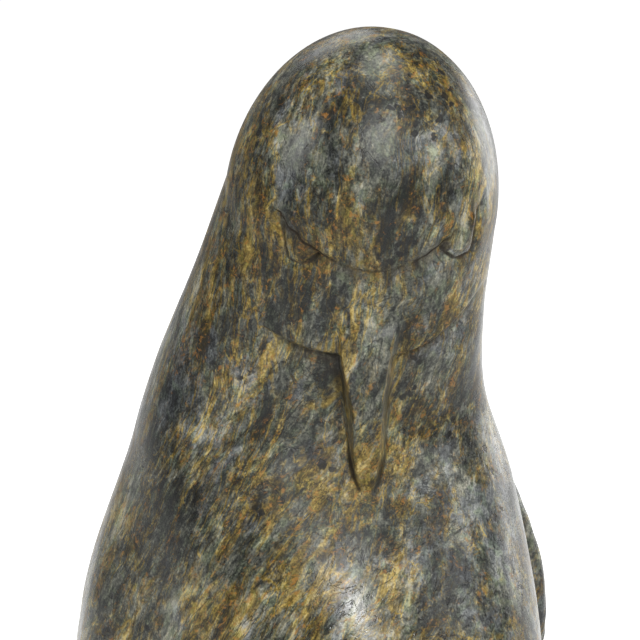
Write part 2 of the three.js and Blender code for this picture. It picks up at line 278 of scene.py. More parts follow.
@dataclass(frozen=True)
class Eye:
    """A low bulge in a drop-shaped groove that is drawn out to its outer corner."""

    centre: tuple[float, float]
    radius: float
    tail: tuple[float, float]
    bulge: float = 0.006
    groove: float = 0.0048
    groove_width: float = 0.0032
    lid: float = 0.006

    def on_axis(self, place: Place) -> tuple[Array, Array, float]:
        """Each place along the drop's axis and towards its outer side, and the drop's length."""
        axis = np.subtract(self.tail, self.centre)
        reach = float(np.hypot(*axis))
        axis = axis / reach
        away = (place.across - self.centre[0], place.up - self.centre[1])
        along = away[0] * axis[0] + away[1] * axis[1]
        outer = (away[0] * axis[1] - away[1] * axis[0]) * math.copysign(1, self.centre[0])
        return along, outer, reach

    def outside(self, place: Place) -> Array:
        """The distance of each place from the drop's outline."""
        along, outer, reach = self.on_axis(place)
        aside = np.abs(outer)
        narrowing = self.radius / reach
        straight = math.sqrt(1 - narrowing**2)
        flank = along * straight - aside * narrowing
        by_flank = aside * straight + along * narrowing - self.radius
        by_tail = np.hypot(along - reach, aside)
        by_ball = np.hypot(along, aside) - self.radius
        return np.where(flank < 0, by_ball, np.where(flank > reach * straight, by_tail, by_flank))

    def relief(self, place: Place, brow: Brow) -> Array:
        """How far the eye moves the surface out, under the brow."""
        away = self.outside(place)
        inwards = np.minimum(-np.minimum(away, 0) / self.radius, 1)
        bulge = self.bulge * (1 - (1 - inwards) ** 2)
        groove = self.groove * bell(away, self.groove_width) * self.open_side(place)
        return (bulge - groove) * self.under(place, brow)

    def open_side(self, place: Place) -> Array:
        """1 on the outer and lower sides, and 0 where the brow alone bounds the eye."""
        along, outer, _ = self.on_axis(place)
        return np.maximum(ease(outer, -self.lid / 2, self.lid / 2), 1 - ease(along, -self.radius, 0))

    def under(self, place: Place, brow: Brow) -> Array:
        """1 under the brow's line, and 0 above it."""
        return 1 - ease(brow.above(place), -self.lid, 0)

    def cut(self, place: Place, brow: Brow) -> Array:
        """1 where the outline is cut as a groove, and 0 where it isn't."""
        return self.open_side(place) * self.under(place, brow)


@dataclass(frozen=True)
class Beak:
    """A flat ridge whose front runs almost straight from the face down to the breast."""

    root: float = 0.03
    tip: float = -0.152
    along: tuple[float, ...] = (0, 0.3, 0.5, 0.8, 0.92, 1)
    left: tuple[float, ...] = (-0.033, -0.0295, -0.024, -0.0200, -0.0152, -0.0085)
    right: tuple[float, ...] = (0.034, 0.02, 0.0155, 0.0125, 0.0085, 0.003)
    front_at_root: float = 0.01
    front_at_tip: float = -0.064
    arch: float = 0.004
    blend: float = 0.2
    left_slope: float = 0.0028
    left_softness: float = 0.0045
    soft_at: float = 0.6
    soft_length: float = 0.14
    right_slope: float = 0.0042
    # Where the painted shade beside the beak falls: the pocket under the jaw, the left wall and the right
    # flank
    pocket_at: float = 0.4
    pocket_length: float = 0.13
    pocket_width: float = 0.006
    wall_painted_shade: float = 0.8
    wall_from: tuple[float, float] = (0.2, 0.4)
    wall_to: tuple[float, float] = (0.92, 0.99)
    flank_painted_shade: float = 0.25
    flank_from: tuple[float, float] = (0.15, 0.3)
    flank_to: tuple[float, float] = (0.6, 0.9)
    cut_from: tuple[float, float] = (0.25, 0.4)
    cut_full: tuple[float, float] = (0.62, 0.85)
    cut_to: tuple[float, float] = (0.98, 1.01)
    cut_beside: float = 0.15
    cut_on_right: float = 0.45
    # The pale edges of the front, part wear and part painted highlight
    edge_wear_and_highlight: float = 0.0014
    wear_and_highlight_from: tuple[float, float] = (0.12, 0.3)
    wear_and_highlight_to: tuple[float, float] = (0.94, 1)

    def part(self, place: Place) -> Array:
        """How far down the beak each place is, from 0 at its root to 1 at its tip."""
        return (self.root - place.up) / (self.root - self.tip)

    def stretch(self, place: Place, starts: tuple[float, float], ends: tuple[float, float]) -> Array:
        """1 along a stretch of the beak, growing over the first parts and fading over the last."""
        part = self.part(place)
        return ease(part, *starts) * (1 - ease(part, *ends))

    def from_edges(self, place: Place) -> tuple[Array, Array]:
        """The distances inwards from the left and the right edge."""
        part = self.part(place)
        left = place.across - np.interp(part, self.along, self.left)
        right = np.interp(part, self.along, self.right) - place.across
        return left, right

    def within(self, place: Place) -> Array:
        """1 between the beak's edges, and 0 beside them."""
        left, right = self.from_edges(place)
        part = self.part(place)
        soft = self.left_slope + self.left_softness * bell(part - self.soft_at, self.soft_length)
        between = ease(left / soft, -1, 1) * ease(right, -self.right_slope, self.right_slope)
        return between * ((part > 0) & (part < 1))

    def rise(self, place: Place) -> Array:
        """How far the beak stands off the surface, towards the viewer."""
        part = self.part(place)
        within = self.within(place)
        chord = mix(self.front_at_root, self.front_at_tip, part)
        front = chord + self.arch * (1 - (2 * part - 1) ** 2)
        return np.maximum(front - place.out, 0) * within * ease(part, 0, self.blend)

    def painted_shade_mask(self, place: Place) -> Array:
        """The painted shade in the pocket under the jaw, on the left wall and on the right flank."""
        left, right = self.from_edges(place)
        beside = bell(self.part(place) - self.pocket_at, self.pocket_length)
        pocket = bell(left + self.pocket_width, self.pocket_width) * beside
        wall = self.wall_painted_shade * bell(left - self.left_slope / 2, self.left_slope)
        wall = wall * self.stretch(place, self.wall_from, self.wall_to)
        flank = self.flank_painted_shade * bell(right, self.right_slope / 2)
        flank = flank * self.stretch(place, self.flank_from, self.flank_to)
        return np.maximum(np.maximum(pocket, wall), flank)

    def cut(self, place: Place) -> Array:
        """1 where the edges are cut as grooves, near the tip, and less higher up and on the right."""
        left, right = self.from_edges(place)
        by_side = np.where(left < right, 1, self.cut_on_right)
        depth = mix(self.cut_beside, 1, ease(self.part(place), *self.cut_full))
        return by_side * depth * self.stretch(place, self.cut_from, self.cut_to)

    def wear_and_highlight(self, place: Place) -> Array:
        """The polish that pales both edges of the front, which also paints a highlight along them."""
        left, right = self.from_edges(place)
        edges = bell(left - self.left_slope / 2, self.edge_wear_and_highlight)
        edges = np.maximum(edges, bell(right - self.right_slope / 2, self.edge_wear_and_highlight))
        return edges * self.stretch(place, self.wear_and_highlight_from, self.wear_and_highlight_to)


@dataclass(frozen=True)
class Wing:
    """A folded wing that stands off the body, inside an outline of angles and heights.

    On the bird's right the front of the wing grows softly out of the breast, up to the angles
    where it is crisp.
    """

    outline: tuple[tuple[float, float], ...] = (
        (104, 0.605), (91, 0.56), (83, 0.48), (80, 0.39), (83, 0.31),
        (95, 0.24), (118, 0.18), (145, 0.14), (165, 0.13), (171, 0.165),
        (167, 0.24), (158, 0.33), (149, 0.43), (139, 0.53), (122, 0.595),
    )
    steps: int = 60
    arc_per_degree: float = 0.004
    rise: float = 0.032
    rises_from: float = 0.58
    rises_to: float = 0.38
    edge: float = 0.027
    soft_edge: float = 0.16
    crisp_from: float = 115
    crisp_to: float = 135
    inset: float = 0.005
    inset_reach: float = 0.03

    def inside(self, degrees: Array, height: Array) -> Array:
        """How far each place lies inside the outline, negative outside it.

        Args:
            degrees: angles from the breast
            height: heights above the base, in shares of the figure's height

        Returns:
            distances in the same shares
        """
        scale = np.array([self.arc_per_degree, 1])
        chain = round_through(np.array(self.outline) * scale, self.steps)
        place = np.stack([degrees * self.arc_per_degree, height], -1)
        nearest = np.full(height.shape, np.inf)
        inside = np.zeros(height.shape, bool)
        for start, end in zip(chain[:-1], chain[1:]):
            edge, away = end - start, place - start
            part = np.clip(away @ edge / (edge @ edge), 0, 1)
            nearest = np.minimum(nearest, np.linalg.norm(away - part[..., None] * edge, axis=-1))
            level = (start[1] > height) != (end[1] > height)
            if edge[1] != 0:
                inside ^= level & (away[..., 0] < away[..., 1] / edge[1] * edge[0])
        return np.where(inside, nearest, -nearest)

    def relief(self, degrees: Array, height: Array, on_left: Array) -> Array:
        """How far the wing moves the surface out.

        Args:
            degrees: angles from the breast
            height: heights above the base, in shares of the figure's height
            on_left: where the bird's left is, whose wing is crisp all round

        Returns:
            the relief in the same shares
        """
        crisp = np.where(on_left, 1, ease(degrees, self.crisp_from, self.crisp_to))
        edge = mix(self.soft_edge, self.edge, crisp)
        inside = self.inside(degrees, height)
        set_back = -self.inset * np.exp(np.minimum(inside, 0) / self.inset_reach) * crisp
        below_shoulder = 1 - ease(height, self.rises_to, self.rises_from)
        return mix(set_back, self.rise, ease(inside / edge, -0.5, 0.5)) * below_shoulder


@dataclass(frozen=True)
class Tail:
    """A wedge under the wing tips that widens and deepens down to the base."""

    top: float = 0.26
    half_angle_top: float = 13
    half_angle_foot: float = 21
    rise: float = 0.034
    edge: float = 5

    def relief(self, degrees: Array, height: Array) -> Array:
        """How far the tail moves the surface out."""
        down = 1 - ease(height, 0, self.top)
        half = mix(self.half_angle_top, self.half_angle_foot, down)
        within = 1 - ease(180 - degrees - half, -self.edge, self.edge)
        return self.rise * down * within


@dataclass(frozen=True)
class Base:
    """The low hand-cut oval that the bird is carved in one with."""

    squareness: float = 2.5
    fillet: float = 0.007
    ledge: float = 0.0045
    taper: float = 0.003
    lower_bevel: float = 0.0015
    upper_round: float = 0.005
    waves: tuple[tuple[int, float, float], ...] = ((2, 0.07, 0.6), (3, 0.094, 2.1), (5, 0.053, 4))
    bevel_rings: int = 3
    side_rings: int = 6
    round_rings: int = 7
    ledge_rings: int = 3

    def profile(self) -> list[tuple[float, float]]:
        """Insets from the outline and heights, from the underside up to the ledge."""
        bevel = np.linspace(0, 1, self.bevel_rings)
        rings = [(self.lower_bevel * (1 - t), self.lower_bevel * t) for t in bevel]
        top = BASE_HEIGHT - self.upper_round
        for t in np.linspace(0, 1, self.side_rings)[1:-1]:
            rings.append((self.taper * t, mix(self.lower_bevel, top, t)))
        for turn in np.linspace(0, QUARTER_TURN, self.round_rings):
            inset = self.taper + self.upper_round * (1 - math.cos(turn))
            rings.append((inset, top + self.upper_round * math.sin(turn)))
        return rings

    def ring(self, inset: float, height: float, half: tuple[float, float], angle: Array) -> Array:
        """One ring of the base.

        Args:
            inset: how far it lies inside the outline
            height: its height
            half: half the width and half the depth of the outline
            angle: the angles of its points from the breast

        Returns:
            one point a row
        """
        radius = section(half[0], half[1], half[1], self.squareness, angle) - inset
        for count, size, phase in self.waves:
            radius = radius + size * BASE_HEIGHT * np.cos(count * angle + phase)
        return np.stack([radius * np.sin(angle), -radius * np.cos(angle), np.full(angle.shape, height)], -1)


# Where the stone is richer in one of its colours, duller or speckled, and where some pale and dark spots also
# paint light and shade

class Tint(Enum):
    """What a patch of the stone has more of; some pale and dark patches also paint light and shade."""

    GOLD = "gold"
    MILK_AND_LIGHT = "milk_and_light"
    DARK = "dark"
    DULL = "dull"
    SPECKLED = "speckled"


def patch(points: Array, radius: float, strength: float, *path: tuple[float, float, float]) -> Array:
    """How strong a soft spot or stripe is.

    Args:
        points: the places in metres
        radius: the radius of the spot, or half the width of the stripe, in millimetres
        strength: the strength at its middle
        path: one point of a spot or several of a stripe, in millimetres

    Returns:
        one number for each place
    """
    corners = np.array(path) / MM_PER_METRE
    away = np.full(points.shape[:-1], np.inf)
    for start, end in zip(corners, corners[1:] if len(path) > 1 else corners):
        along = end - start
        part = np.clip((points - start) @ along / max(along @ along, SHORTEST), 0, 1)
        away = np.minimum(away, np.linalg.norm(points - (start + part[..., None] * along), axis=-1))
    return strength * bell(away, radius / MM_PER_METRE)


# The radius, the strength at its middle, and one point of a spot or several of a stripe, in millimetres
PATCHES: dict[Tint, tuple[tuple[Any, ...], ...]] = {
    Tint.GOLD: (
        (2.4, 2, (-49, -38, 236), (-55, -28, 218), (-59, -15, 197)),
        (2.4, 2, (-24, -62, 225), (-29, -55, 207), (-37, -56, 188)),
        (2.4, 2, (-37, -56, 188), (-45, -56, 171), (-52, -51, 151), (-55, -46, 139)),
        (2.4, 2, (-12, -65, 209), (-17, -60, 193), (-27, -68, 171), (-32, -71, 155)),
        (2.4, 2, (-38, -63, 271), (-41, -53, 253), (-45, -47, 241), (-49, -42, 230)),
        (2.4, 1.3, (-20, -75, 248), (-17, -71, 232), (-12, -69, 207)),
        (2.4, 1.3, (3, -73, 229), (13, -73, 233), (16, -75, 242)),
        (2.4, 1.3, (3, -62, 210), (6, -60, 198), (2, -67, 181)),
        (3, 1.2, (-24, -74, 294), (-27, -76, 282), (-26, -78, 270), (-21, -80, 262)),
        (11, 1, (-37, -46, 288)),
        (12, 1, (-41, -26, 264)),
        (10, 1, (-45, -29, 250)),
        (12, 1, (-20, -81, 262)),
        (13, 1, (-8, -85, 262)),
        (12, 1, (7, -86, 272)),
        (12, 0.8, (1, -69, 227)),
        (10, 0.7, (-8, -73, 215)),
        (14, 0.5, (-37, -60, 177)),
        (10, 0.6, (-15, -60, 193)),
        (13, 0.5, (-23, -70, 169)),
        (11, 1, (-53, -49, 148)),
        (10, 0.6, (11, -63, 189)),
        (4.5, 2, (-34, -68, 262)),
    ),
    Tint.MILK_AND_LIGHT: (
        # Paler, milkier stone. The spots on the left temple and high on the front of the head also paint the
        # highlights there, the large one on the right of the breast paints sheen, and the large one on the
        # left of the neck paints light
        (13, 1.3, (-29, -74, 283)),
        (10, 1, (-2, -85, 290)),
        (12, 0.8, (24, -62, 224)),
        (11, 2, (-31, -58, 220)),
        (24, 1.9, (36, -62, 168)),
        (14, 0.8, (14, -74, 164)),
        (12, 0.6, (-55, -35, 203)),
        (24, 1.4, (-50, -26, 222)),
        (2.4, 3, (8, -85, 264.5)),
    ),
    Tint.DARK: (
        # Darker stone. The spots on the left of the head, under the left of the jaw, in the pocket beside the
        # beak, low on the forehead and on the left of the breast also paint the shade that falls there
        (8, 1.2, (-58, -32, 184), (-63, -20, 158), (-67, -16, 139)),
        (12, 1.2, (-2, -72, 212)),
        (14, 1, (-8, -85, 268)),
        (12, 1.3, (-6, -78, 304)),
        (11, 0.8, (-19, -75, 300)),
        (9, 1, (-37, -64, 269)),
        (13, 0.9, (-34, -64, 243)),
        (12, 1.2, (-23, -71, 241)),
        (9, 1.5, (-15, -62, 216)),
        (10, 1, (-39, -56, 233)),
        (16, 1, (-61, -23, 182)),
        (13, 1, (-58, -36, 160)),
        (8, 1, (-46, -57, 165)),
        (10, 0.7, (-27, -56, 199)),
        (10, 0.7, (5, -81, 148)),
        (20, 0.8, (-12, -84, 261)),
        (22, 0.5, (-50, -48, 178)),
    ),
    Tint.DULL: (
        (24, 0.8, (40, -50, 282)),
        (22, 1, (-18, -63, 185)),
        (16, 0.6, (-5, -83, 292)),
        (10, 1, (0, -72, 233)),
    ),
    Tint.SPECKLED: (
        (7, 1, (-18, -60, 192)),
        (6, 1, (-37, -60, 175)),
        (6, 1, (-26, -64, 180)),
        (6, 1, (5, -85, 273)),
        (5, 1, (-4, -85, 262)),
    ),
}


# The bird

@dataclass
class Bird:
    """The whole carving: sections along a bent spine, a crown, the carving and the base.

    Each station is a section square to the spine: its centre, how far it nods forward, turns to
    the right and leans to the left, and its reach sideways, to the breast and to the back.
    """

    stations: tuple[tuple[float, ...], ...] = (
        (0, 0.005, 0, 0, 0, 0, 0.178, 0.2, 0.2),
        (0, 0.005, 0.14, 0, 0, 0, 0.214, 0.268, 0.245),
        (0.001, 0, 0.28, 0, 0, 0, 0.223, 0.298, 0.246),
        (0.002, -0.01, 0.41, 2, 0, 0, 0.212, 0.278, 0.222),
        (-0.008, -0.038, 0.535, 6, -3, 0, 0.197, 0.203, 0.203),
        (-0.023, -0.08, 0.635, 11, -8, 0, 0.169, 0.122, 0.19),
        (-0.0165, -0.118, 0.735, 17, -14, 4, 0.147, 0.122, 0.166),
        (-0.001, -0.14, 0.829, 22, -19, 9, 0.135, 0.141, 0.138),
    )
    squareness: float = 2.15
    crown_height: float = 0.1855
    crown_pointedness: float = 1.09
    columns: int = 296
    face_crowding: float = 0.62
    foot_rings: int = 8
    body_rings: int = 92
    chest_ends: float = 0.5
    throat_rings: int = 36
    face_starts: float = 0.62
    face_rings: int = 140
    crown_rings: int = 36
    stencil: Stencil = Stencil()
    brow: Brow = Brow()
    jaw: Jaw = Jaw()
    eyes: tuple[Eye, Eye] = (
        Eye(centre=(-0.067, 0.089), radius=0.0172, tail=(-0.0897, 0.122)),
        Eye(centre=(0.083, 0.0925), radius=0.0153, tail=(0.105, 0.1345)),
    )
    beak: Beak = Beak()
    wing: Wing = Wing()
    tail: Tail = Tail()
    base: Base = Base()

    def angles(self) -> Array:
        """The angles of the columns from the breast, crowded towards the face."""
        even = np.arange(self.columns) / self.columns * FULL_TURN - math.pi
        return even - self.face_crowding * np.sin(even)

    def spine(self, along: Array) -> tuple[Array, Array, Array]:
        """Sections of the spine.

        Args:
            along: places on it, from 0 at the foot to 1 at the temples

        Returns:
            their centres in metres, their rotation matrices and their three reaches
        """
        table = through(np.array(self.stations, float), along)
        centres = table[:, :3] * FIGURE_HEIGHT + (0, 0, BASE_HEIGHT)
        return centres, turned(table[:, 3], table[:, 5], table[:, 4]), table[:, 6:]

    def plain(self, along: Array, angle: Array) -> tuple[Array, Array]:
        """The uncarved figure.

        Args:
            along: rings, from 0 to 1 on the spine and from 1 to 2 on the crown
            angle: columns

        Returns:
            points and their outward directions, by ring and column
        """
        rise = np.maximum(along - 1, 0) * QUARTER_TURN
        centres, matrices, reaches = self.spine(np.minimum(along, 1))
        reaches = reaches * (np.cos(rise) ** self.crown_pointedness)[:, None]
        centres = centres + matrices[:, :, 2] * (FIGURE_HEIGHT * self.crown_height * np.sin(rise))[:, None]
        right, forward = matrices[:, None, :, 0], -matrices[:, None, :, 1]
        outwards = right * np.sin(angle)[None, :, None] + forward * np.cos(angle)[None, :, None]
        side, front, back = [reaches[:, k, None] for k in range(3)]
        radius = FIGURE_HEIGHT * section(side, front, back, self.squareness, angle[None])
        return centres[:, None] + outwards * radius[..., None], outwards

    def carved(self, along: Array, angle: Array) -> tuple[Array, dict[str, Array]]:
        """The carved figure.

        Args:
            along: rings, as in plain
            angle: columns

        Returns:
            points, and by name the numbers that the stone's material reads: the painted shade under and
            beside the carved lines, the beak's edge wear that also paints a highlight, and for each carved
            line the distance from it in metres and the part where it is cut
        """
        points, outwards = self.plain(along, angle)
        place = self.stencil.place(points)
        in_front = self.stencil.in_front(place)
        beside_beak = 1 - self.beak.within(place)
        face = self.brow.relief(place) + self.jaw.relief(place, beside_beak)
        face = face + sum(eye.relief(place, self.brow) for eye in self.eyes)
        height = (points[..., 2] - BASE_HEIGHT) / FIGURE_HEIGHT
        degrees = np.broadcast_to(np.degrees(np.abs(angle)), height.shape)
        wing = self.wing.relief(degrees, height, angle > 0)
        rear = np.maximum(wing, self.tail.relief(degrees, height))
        low = np.clip(1 - height * FIGURE_HEIGHT / self.base.fillet, 0, 1)
        fillet = self.base.fillet * (1 - np.sqrt(1 - low**2))
        out = FIGURE_HEIGHT * (face * in_front + rear) + fillet
        moved = points + outwards * out[..., None]
        on_beak = self.stencil.place(moved)
        rise = self.beak.rise(on_beak) * in_front
        # Painted shade under the brow and the jaw, and beside the beak
        painted_shade = np.maximum(self.brow.painted_shade_mask(place), self.jaw.painted_shade_mask(place, beside_beak))
        lines = {
            "brow": (self.brow.above(place), self.brow.cut(place)),
            "jaw": (self.jaw.above(place), self.jaw.within(place) * beside_beak),
            "left_eye": (self.eyes[0].outside(place), self.eyes[0].cut(place, self.brow)),
            "right_eye": (self.eyes[1].outside(place), self.eyes[1].cut(place, self.brow)),
            "beak": (np.minimum(*self.beak.from_edges(on_beak)), self.beak.cut(on_beak)),
        }
        layers = {"painted_shade": np.maximum(painted_shade, self.beak.painted_shade_mask(on_beak)) * in_front}
        # The beak's pale edges, part wear and part painted highlight
        layers["wear_and_highlight"] = self.beak.wear_and_highlight(on_beak) * in_front
        for name, (away, cut) in lines.items():
            layers[name] = away * FIGURE_HEIGHT
            layers[name + "_cut"] = cut * in_front
        return moved + self.stencil.axes()[1] * (FIGURE_HEIGHT * rise)[..., None], layers

    def rings(self) -> Array:
        """The places of the figure's rings, closest together on the face."""
        foot = self.base.fillet / (self.stations[1][2] * FIGURE_HEIGHT) / (len(self.stations) - 1)
        zones = [
            foot * np.linspace(0, 1, self.foot_rings) ** 2,
            np.linspace(foot, self.chest_ends, self.body_rings + 1)[1:],
            np.linspace(self.chest_ends, self.face_starts, self.throat_rings + 1)[1:],
            np.linspace(self.face_starts, 1, self.face_rings + 1)[1:],
            1 + np.arange(1, self.crown_rings) / self.crown_rings,
        ]
        return np.concatenate(zones)

    def surface(self) -> tuple[Array, dict[str, Array]]:
        """All vertices, ring by ring, between a first one under the base and a last on the crown.

        Returns:
            points, and the numbers of carved at each, which are 0 on the base
        """
        angle = self.angles()
        figure, layers = self.carved(self.rings(), angle)
        margin = self.base.fillet + self.base.ledge + self.base.upper_round + self.base.taper
        _, forward, _, _, _, _, side, _, back = self.stations[0]
        half_width = side * FIGURE_HEIGHT + margin
        half_depth = (forward + back + self.tail.rise) * FIGURE_HEIGHT + margin
        rings = [self.base.ring(i, z, (half_width, half_depth), angle) for i, z in self.base.profile()]
        for part in np.arange(1, self.base.ledge_rings) / self.base.ledge_rings:
            rings.append(mix(rings[len(self.base.profile()) - 1], figure[0], part))
        centres, matrices, _ = self.spine(np.ones(1))
        crown = centres[0] + matrices[0][:, 2] * self.crown_height * FIGURE_HEIGHT
        points = np.vstack([np.zeros((1, 3)), np.vstack(rings), figure.reshape(-1, 3), crown[None]])
        on_base = np.zeros(1 + len(rings) * self.columns)
        layers = {name: np.concatenate([on_base, values.ravel(), [0]]) for name, values in layers.items()}
        for tint in Tint:
            layers[tint.value] = sum(patch(points, *row) for row in PATCHES[tint])
        return points, layers

    def faces(self, count: int) -> list[tuple[int, ...]]:
        """Quads between the rings and fans at both ends, for a surface of count vertices."""
        grid = 1 + np.arange(count - 2).reshape(-1, self.columns)
        after = np.roll(grid, -1, axis=1)
        quads = np.stack([grid[:-1], after[:-1], after[1:], grid[1:]], -1).reshape(-1, 4)
        below = [(0, int(b), int(a)) for a, b in zip(grid[0], after[0])]
        above = [(int(a), int(b), count - 1) for a, b in zip(grid[-1], after[-1])]
        return below + [tuple(quad) for quad in quads.tolist()] + above

    def build(self) -> bpy.types.Object:
        """The bird as a smooth mesh that holds the numbers that its material reads."""
        points, layers = self.surface()
        mesh = bpy.data.meshes.new("carved_stone")
        mesh.from_pydata(points.tolist(), [], self.faces(len(points)))
        mesh.shade_smooth()
        for name, values in layers.items():
            layer = mesh.attributes.new(name, "FLOAT", "POINT")
            layer.data.foreach_set("value", values.astype(np.float32))
        piece = bpy.data.objects.new("carved_stone", mesh)
        bpy.context.scene.collection.objects.link(piece)
        return piece


# Node trees written as expressions

class Number:
    """A number in a node tree. Arithmetic on it adds Math nodes."""

    def __init__(self, graph: "Graph", socket: bpy.types.NodeSocket) -> None:
        """Wraps a socket of the graph."""
        self.graph = graph
        self.socket = socket

    def __add__(self, other: Any) -> "Number":
        """The sum."""
        return self.graph.math("ADD", self, other)

    def __radd__(self, other: Any) -> "Number":
        """The sum, with the number first."""
        return self.graph.math("ADD", other, self)

    def __sub__(self, other: Any) -> "Number":
        """The difference."""
        return self.graph.math("SUBTRACT", self, other)

    def __rsub__(self, other: Any) -> "Number":
        """The difference, with the number first."""
        return self.graph.math("SUBTRACT", other, self)

    def __mul__(self, other: Any) -> "Number":
        """The product."""
        return self.graph.math("MULTIPLY", self, other)


class Graph:
    """A node tree under construction."""

    def __init__(self, tree: bpy.types.NodeTree) -> None:
        """Starts on an empty tree."""
        self.tree = tree
        self.tree.nodes.clear()

    def node(self, kind: str, settings: Mapping[str, Any], inputs: Mapping[Any, Any]) -> bpy.types.Node:
        """Adds a node.

        Args:
            kind: its type
            settings: its own properties, set first; stops are those of a colour ramp
            inputs: values or links, by socket name or number

        Returns:
            the node
        """
        made = self.tree.nodes.new(kind)
        for key, value in settings.items():
            if key == "stops":
                self.set_stops(made.color_ramp, value)
            else:
                setattr(made, key, value)
        for key, value in inputs.items():
            if isinstance(value, Number):
                self.tree.links.new(value.socket, made.inputs[key])
            elif isinstance(value, bpy.types.NodeSocket):
                self.tree.links.new(value, made.inputs[key])
            else:
                made.inputs[key].default_value = value
        return made

    def set_stops(self, ramp: bpy.types.ColorRamp, stops: Sequence[tuple[float, Colour]]) -> None:
        """Gives a ramp its places and colours."""
        while len(ramp.elements) < len(stops):
            ramp.elements.new(1)
        for element, (position, colour) in zip(ramp.elements, stops):
            element.position = position
            element.color = (*colour, 1)

    def number(self, kind: str, settings: Mapping[str, Any], inputs: Mapping[Any, Any]) -> Number:
        """Adds a node and takes its first output as a number."""
        return Number(self, self.node(kind, settings, inputs).outputs[0])

    def attribute(self, name: str) -> Number:
        """A number that the mesh holds at each of its points."""
        node = self.node("ShaderNodeAttribute", {"attribute_name": name}, {})
        return Number(self, node.outputs["Fac"])

    def math(self, operation: str, first: Any, second: Any = 0.0) -> Number:
        """Adds a Math node."""
        return self.number("ShaderNodeMath", {"operation": operation}, {0: first, 1: second})

    def vector(self, operation: str, first: Any, second: Any) -> bpy.types.NodeSocket:
        """Adds a Vector Math node."""
        inputs = {0: first, 1: second}
        return self.node("ShaderNodeVectorMath", {"operation": operation}, inputs).outputs[0]

    def scaled(self, vector: Any, factor: Any) -> bpy.types.NodeSocket:
        """A vector times a number."""
        inputs = {0: vector, "Scale": factor}
        return self.node("ShaderNodeVectorMath", {"operation": "SCALE"}, inputs).outputs[0]

    def between(self, value: Any, low: float, high: float) -> Number:
        """A smooth step from 0 at low to 1 at high."""
        inputs = {"Value": value, "From Min": low, "From Max": high}
        return self.number("ShaderNodeMapRange", {"interpolation_type": "SMOOTHSTEP"}, inputs)

    def noise(self, place: Any, scale: float, detail: float, roughness: float, bend: float) -> Number:
        """A noise from about 0 to 1, with its features 1 / scale metres apart."""
        inputs = {"Vector": place, "Scale": scale, "Detail": detail}
        inputs |= {"Roughness": roughness, "Distortion": bend}
        return self.number("ShaderNodeTexNoise", {}, inputs)

    def shift(self, place: Any, scale: float, detail: float, amount: float) -> bpy.types.NodeSocket:
        """The place moved about by up to half the amount in metres, so that patterns on it flow."""
        noise = self.node("ShaderNodeTexNoise", {}, {"Vector": place, "Scale": scale, "Detail": detail})
        centred = self.vector("SUBTRACT", noise.outputs["Color"], (0.5, 0.5, 0.5))
        return self.vector("ADD", place, self.scaled(centred, amount))

    def stretched(self, place: Any, turn: Sequence[float], stretch: Sequence[float]) -> bpy.types.NodeSocket:
        """Coordinates turned, in degrees, and drawn out along their own axes."""
        inputs = {"Vector": place, "Rotation": [math.radians(a) for a in turn], "Scale": stretch}
        return self.node("ShaderNodeMapping", {"vector_type": "TEXTURE"}, inputs).outputs[0]

    def ramp(self, value: Any, stops: Sequence[tuple[float, Colour]]) -> bpy.types.NodeSocket:
        """A colour ramp."""
        return self.node("ShaderNodeValToRGB", {"stops": stops}, {"Fac": value}).outputs["Color"]

    def blend(self, part: Any, first: Any, second: Any, mode: str = "MIX") -> bpy.types.NodeSocket:
        """A colour part of the way from first to second."""
        settings = {"data_type": "RGBA", "blend_type": mode}
        colours = {key: (*c, 1) if isinstance(c, tuple) else c for key, c in ((6, first), (7, second))}
        return self.node("ShaderNodeMix", settings, {0: part, **colours}).outputs[2]


# The stone's finish

@dataclass(frozen=True)
class Pattern:
    """A noise in the stone. Its share is its weight where several are added up.

    The turn is in degrees, and the stretch draws it out along the turned upright.
    """

    scale: float
    detail: float
    roughness: float
    bend: float = 0.0
    turn: tuple[float, float, float] = (0, 0, 0)
    stretch: float = 1
    share: float = 1

    def field(self, graph: Graph, place: Any) -> Number:
        """Its values, from about 0 to 1."""
        if self.stretch != 1:
            place = graph.stretched(place, self.turn, (1, 1, self.stretch))
        return graph.noise(place, self.scale, self.detail, self.roughness, self.bend)


@dataclass(frozen=True)
class Thread:
    """Winding lines where a drawn-out noise crosses its middle."""

    turn: float
    stretch: float
    scale: float
    width: float
    strength: float
    detail: float = 4
    roughness: float = 0.62
    bend: float = 0.7
    middle: float = 0.5

    def lines(self, graph: Graph, place: Any) -> Number:
        """1 on the lines and 0 beside them."""
        drawn = graph.stretched(place, (0, 0, self.turn), (1, 1, self.stretch))
        field = graph.noise(drawn, self.scale, self.detail, self.roughness, self.bend)
        return 1 - graph.between(graph.math("ABSOLUTE", field - self.middle), 0.0, self.width)


@dataclass(frozen=True)
class Band:
    """The values of a field between which a colour sets in, and how strongly it covers."""

    low: float
    high: float
    strength: float = 1

    def part(self, graph: Graph, value: Any) -> Number:
        """How far the colour has set in, from 0 to 1."""
        return graph.between(value, self.low, self.high)

    def cover(self, graph: Graph, value: Any) -> Number:
        """How much of what lies below it the colour covers."""
        return self.part(graph, value) * self.strength


@dataclass(frozen=True)
class Cut:
    """How a carved line shows as a dark line of painted shade: half its width, how far aside it lies,
    how dark it is and its core.

    The core is the share of the width that is full.
    """

    name: str
    width: float
    aside: float = 0.0
    strength: float = 1.0
    core: float = 0.25

    def line(self, graph: Graph) -> Number:
        """Its strength on the line and 0 beside it."""
        away = graph.math("ABSOLUTE", graph.attribute(self.name) + self.aside)
        on_line = 1 - graph.between(away, self.width * self.core, self.width)
        return on_line * graph.attribute(self.name + "_cut") * self.strength


@dataclass
class Fields:
    """What the stone's colours are worked out from, at each place."""

    place: bpy.types.NodeSocket
    flow: bpy.types.NodeSocket
    tints: dict[Tint, Number]
    fibre: Number
    grit: Number
    grain: Number
    cloud: Number
    gold: Number


